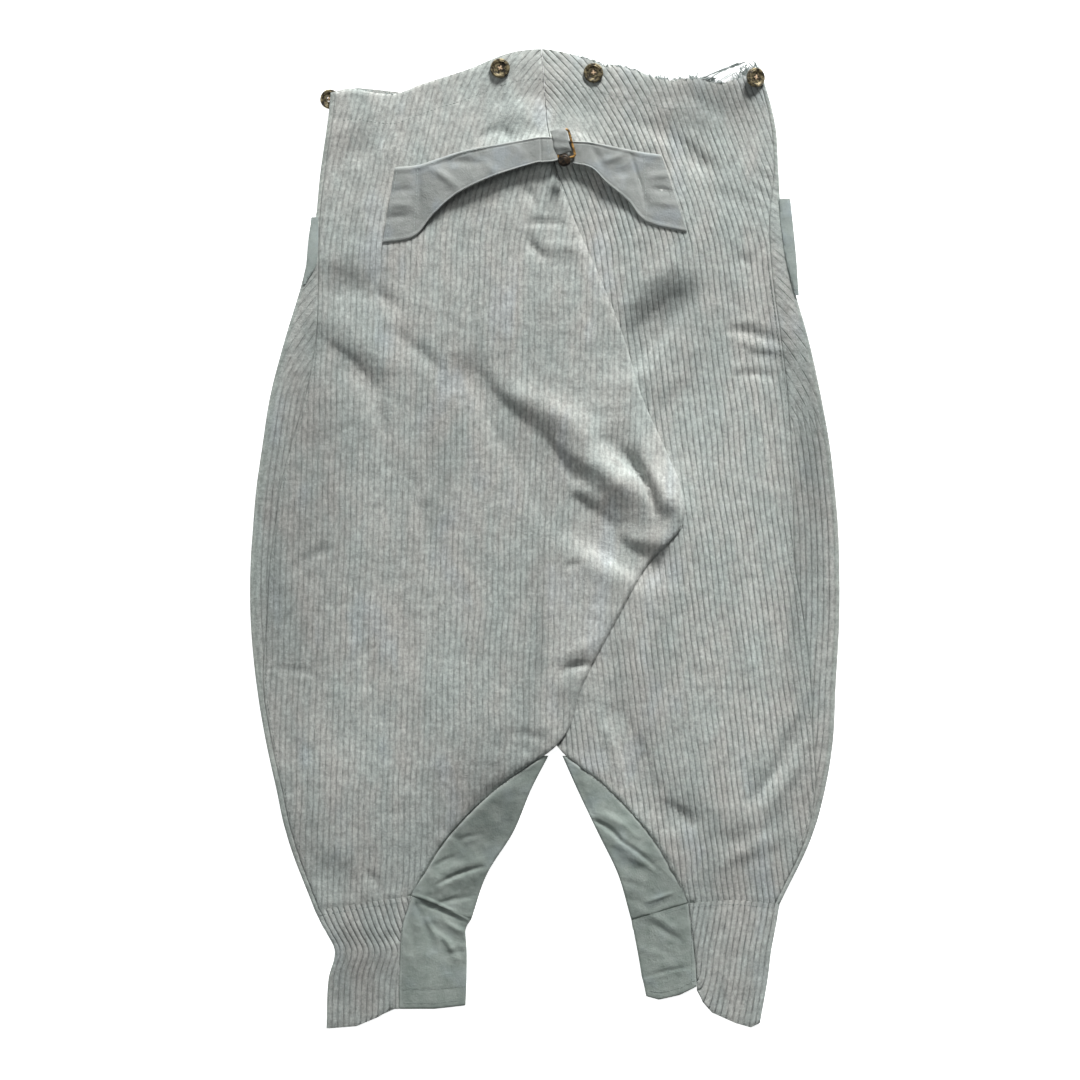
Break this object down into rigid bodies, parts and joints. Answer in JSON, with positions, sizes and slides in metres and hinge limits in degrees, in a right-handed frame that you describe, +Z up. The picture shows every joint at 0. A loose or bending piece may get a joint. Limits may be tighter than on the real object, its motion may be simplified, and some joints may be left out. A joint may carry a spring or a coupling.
{
  "type": "corduroy knee breeches",
  "caption": "Laid-flat wide-wale corduroy knee breeches, back up, with a fishtail waist, cinch strap and buckle, brace buttons and plain inner-knee gussets.",
  "frame": {"origin": "middle of the garment's footprint, on the surface it lies on", "axes": "+Z up out of the back of the garment, +Y towards the waist, +X towards the right leg as seen from the back"},
  "size_m": [0.512, 0.8509, 0.0245],
  "materials": {
    "corduroy": "faded cut-pile corduroy with wide wales, matt",
    "twill": "plain cotton twill, matt, worn",
    "strap_twill": "plain cotton twill, pale and matt",
    "bronze": "dark oxidised bronze, rubbed at the rims",
    "brass": "old brass wire, tarnished"
  },
  "bodies": {
    "root": {"back_left": "corduroy", "back_right": "corduroy", "front_left": "corduroy", "front_right": "corduroy", "knee_left": "corduroy", "knee_right": "corduroy", "gusset_left": "twill", "gusset_right": "twill", "calf_left": "twill", "calf_right": "twill", "pocket_left": "twill", "pocket_right": "twill", "fly_placket": "twill", "strap_left": "strap_twill", "strap_right": "strap_twill", "buckle_frame": "brass", "buckle_prong": "bronze", "button_back_left": "bronze", "button_back_right": "bronze", "button_side_left": "bronze", "button_side_right": "bronze"}
  },
  "joints": []
}
